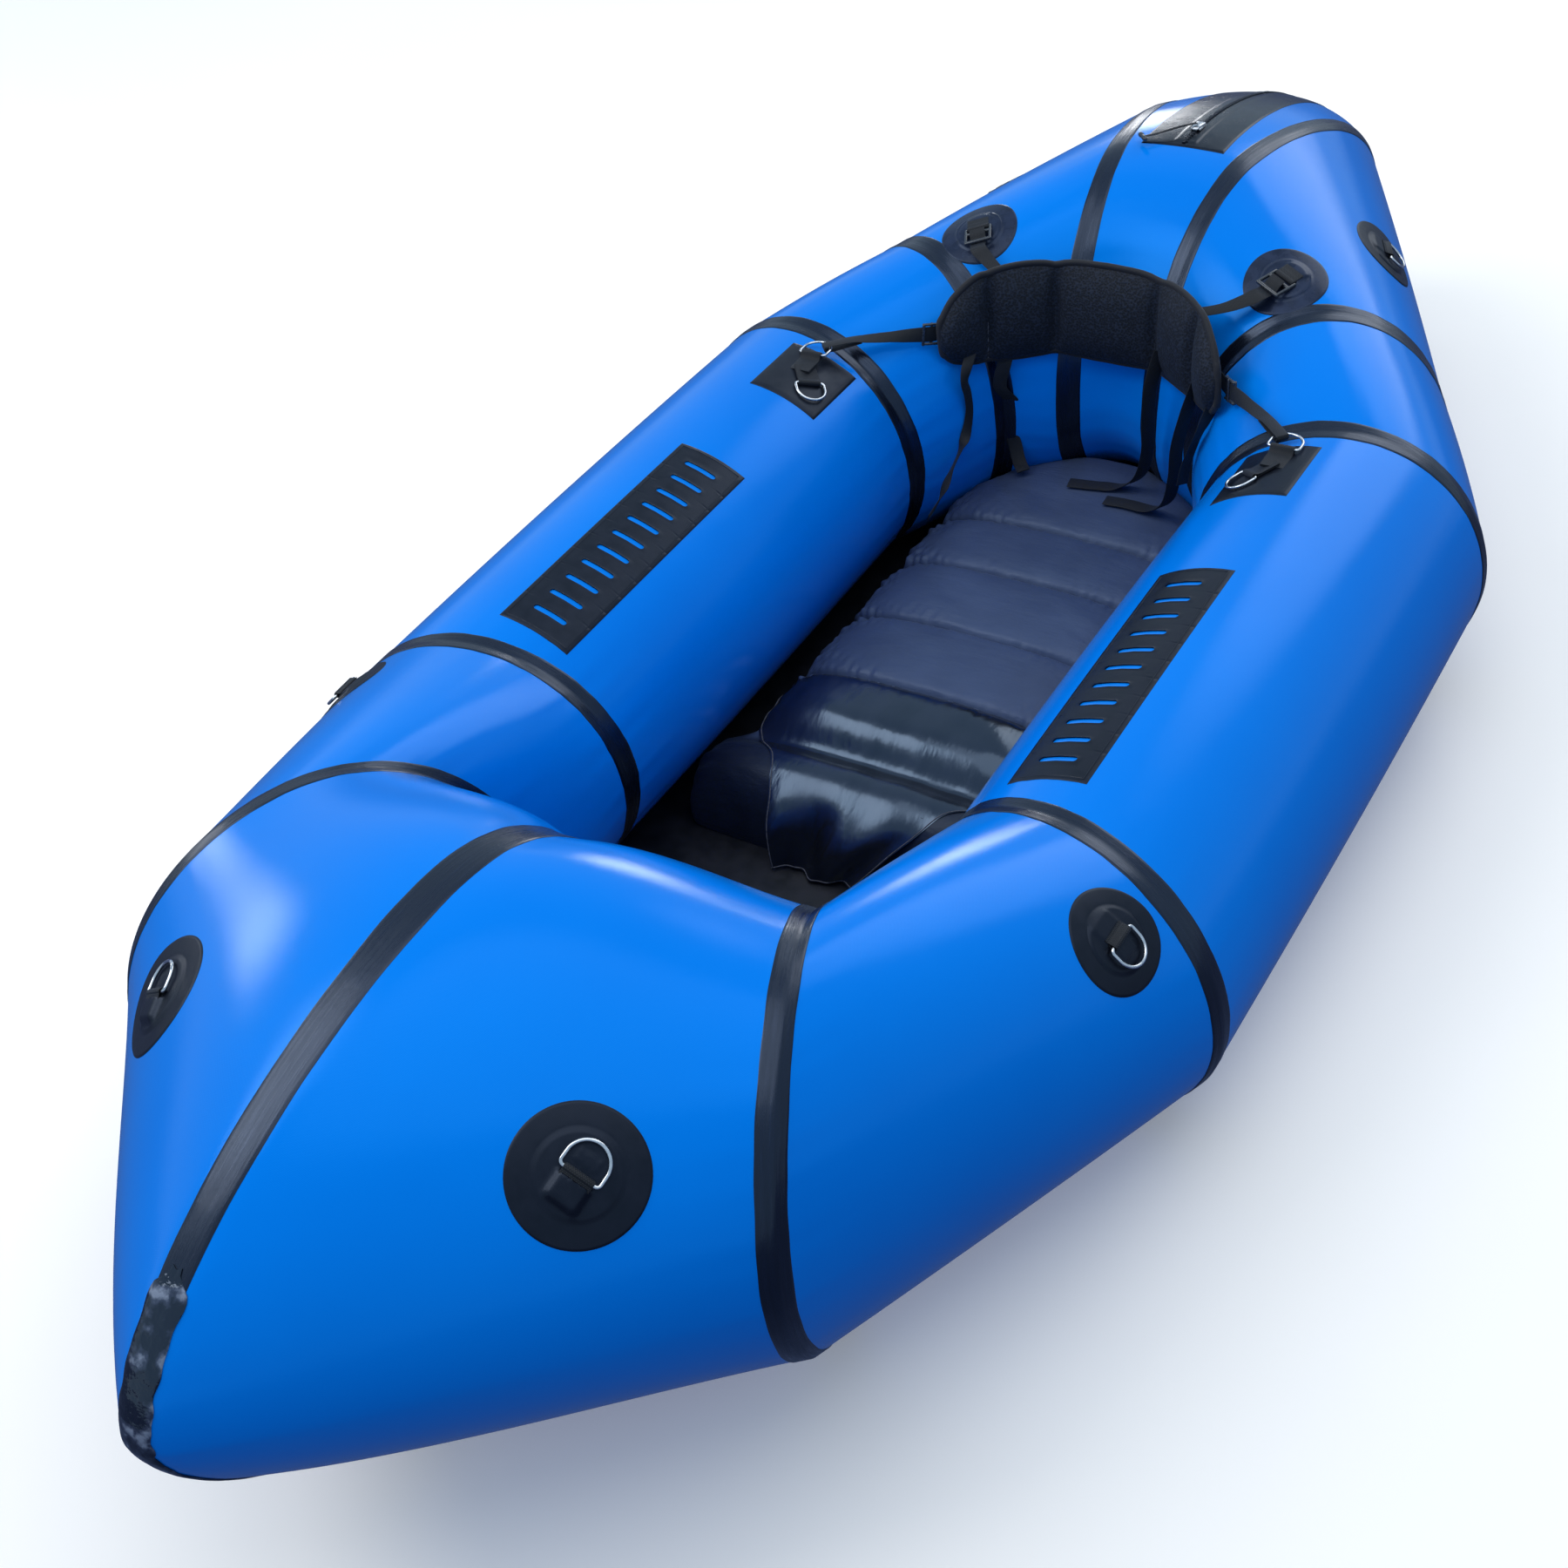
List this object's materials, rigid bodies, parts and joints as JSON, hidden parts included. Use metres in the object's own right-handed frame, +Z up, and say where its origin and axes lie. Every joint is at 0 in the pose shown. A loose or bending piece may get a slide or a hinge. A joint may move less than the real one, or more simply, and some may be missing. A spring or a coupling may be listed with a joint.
{
  "type": "packraft",
  "caption": "Blue one-person inflatable packraft with a pointed bow, ridged stern, taped panel seams, lash patches, cargo zip, air seat and strapped backrest.",
  "frame": {"origin": "middle of the boat's outline, on the ground plane that its floor rests on", "axes": "+Z up, +Y from the bow to the stern, +X to the port side"},
  "size_m": [0.9454, 2.2098, 0.4523],
  "materials": {
    "hull": "blue coated nylon, satin with soft highlights",
    "tape": "black coated seam tape with a streaky sheen",
    "patch": "black coated fabric, satin",
    "floor": "heavy black coated floor fabric, dull",
    "wire": "polished stainless wire",
    "webbing": "black woven webbing",
    "pad": "black spacer mesh with a plain woven edge",
    "seat": "dark slate coated nylon, soft sheen",
    "flap": "glossy black coated fabric",
    "plastic": "black moulded acetal",
    "slider": "die-cast metal, grey",
    "puller": "black cord with a moulded toggle"
  },
  "bodies": {
    "hull": {"aft_panel_port": "hull", "aft_panel_starboard": "hull", "aft_tape_port": "tape", "aft_tape_starboard": "tape", "bow_panel_port": "hull", "bow_panel_starboard": "hull", "bow_ring_patch_port": "patch", "bow_ring_patch_starboard": "patch", "bow_tape": "tape", "floor": "floor", "fore_panel_port": "hull", "fore_panel_starboard": "hull", "fore_ring_patch_port": "patch", "fore_ring_patch_starboard": "patch", "fore_tape_port": "tape", "fore_tape_starboard": "tape", "ladder_lock_port": "plastic", "ladder_lock_starboard": "plastic", "lash_strip_port": "patch", "lash_strip_starboard": "patch", "nose_patch": "tape", "quarter_panel_port": "hull", "quarter_panel_starboard": "hull", "quarter_tape_port": "tape", "quarter_tape_starboard": "tape", "rear_strap_port": "webbing", "rear_strap_starboard": "webbing", "seat": "seat", "seat_flap": "flap", "shoulder_tape_port": "tape", "shoulder_tape_starboard": "tape", "side_panel_port": "hull", "side_panel_starboard": "hull", "stern_panel": "hull", "stern_ring_patch_port": "patch", "stern_ring_patch_starboard": "patch", "strap_patch_port": "patch", "strap_patch_starboard": "patch", "tie_patch_port": "patch", "tie_patch_starboard": "patch", "transom_tape_port": "tape", "transom_tape_starboard": "tape", "valve_body": "plastic", "zip_patch": "patch"},
    "bow_ring_port": {"bow_ring_port": "wire"},
    "bow_ring_starboard": {"bow_ring_starboard": "wire"},
    "fore_ring_port": {"fore_ring_port": "wire"},
    "fore_ring_starboard": {"fore_ring_starboard": "wire"},
    "stern_ring_port": {"stern_ring_port": "wire"},
    "stern_ring_starboard": {"stern_ring_starboard": "wire"},
    "tie_ring_port": {"tie_ring_port": "wire"},
    "tie_ring_starboard": {"tie_ring_starboard": "wire"},
    "backrest": {"backrest_pad": "pad", "front_strap_port": "webbing", "front_strap_starboard": "webbing", "backrest_ring_port": "wire", "backrest_ring_starboard": "wire"},
    "zip_slider": {"zip_slider": "slider"},
    "zip_puller": {"zip_puller": "puller"},
    "valve_cap": {"valve_cap": "plastic"}
  },
  "joints": [
    {"name": "bow_ring_swing_port", "type": "hinge", "parent": "hull", "child": "bow_ring_port", "pos_m": [0.20096, -0.8241, 0.36919], "axis": [0.8416, 0.0801, -0.5341], "range_deg": [0, 150]},
    {"name": "bow_ring_swing_starboard", "type": "hinge", "parent": "hull", "child": "bow_ring_starboard", "pos_m": [-0.20096, -0.8241, 0.36919], "axis": [0.8416, -0.0801, 0.5341], "range_deg": [0, 150]},
    {"name": "fore_ring_swing_port", "type": "hinge", "parent": "hull", "child": "fore_ring_port", "pos_m": [0.40332, -0.39373, 0.28604], "axis": [-0.0257, -0.9993, -0.0257], "range_deg": [0, 150]},
    {"name": "fore_ring_swing_starboard", "type": "hinge", "parent": "hull", "child": "fore_ring_starboard", "pos_m": [-0.40332, -0.39373, 0.28604], "axis": [-0.0257, 0.9993, 0.0257], "range_deg": [0, 150]},
    {"name": "stern_ring_swing_port", "type": "hinge", "parent": "hull", "child": "stern_ring_port", "pos_m": [0.2439, 0.67575, 0.3212], "axis": [0.4494, -0.8893, -0.0842], "range_deg": [0, 150]},
    {"name": "stern_ring_swing_starboard", "type": "hinge", "parent": "hull", "child": "stern_ring_starboard", "pos_m": [-0.2439, 0.67575, 0.3212], "axis": [0.4494, 0.8893, 0.0842], "range_deg": [0, 150]},
    {"name": "tie_ring_swing_port", "type": "hinge", "parent": "hull", "child": "tie_ring_port", "pos_m": [0.25632, 0.23848, 0.29553], "axis": [-0.6682, 0.6682, -0.3271], "range_deg": [0, 150]},
    {"name": "tie_ring_swing_starboard", "type": "hinge", "parent": "hull", "child": "tie_ring_starboard", "pos_m": [-0.25632, 0.23848, 0.29553], "axis": [-0.6682, -0.6682, 0.3271], "range_deg": [0, 150]},
    {"name": "backrest_swing", "type": "hinge", "parent": "hull", "child": "backrest", "pos_m": [0, 0.27757, 0.30723], "axis": [1, 0, 0], "range_deg": [0, 25], "deforming": ["front_strap_port", "front_strap_starboard"]},
    {"name": "zip_travel", "type": "hinge", "parent": "hull", "child": "zip_slider", "pos_m": [0, 0.65616, -0.35405], "axis": [-1, 0, 0], "range_deg": [0, 14.86]},
    {"name": "zip_pull_swing", "type": "hinge", "parent": "zip_slider", "child": "zip_puller", "pos_m": [0, 0.70723, 0.42504], "axis": [-0.6816, 0.7297, -0.0544], "range_deg": [0, 150]},
    {"name": "valve_cap_turn", "type": "hinge", "parent": "hull", "child": "valve_cap", "pos_m": [-0.24143, 0.76214, 0.24712], "axis": [-0.8608, 0.4358, 0.2628], "range_deg": [0, 360]}
  ]
}
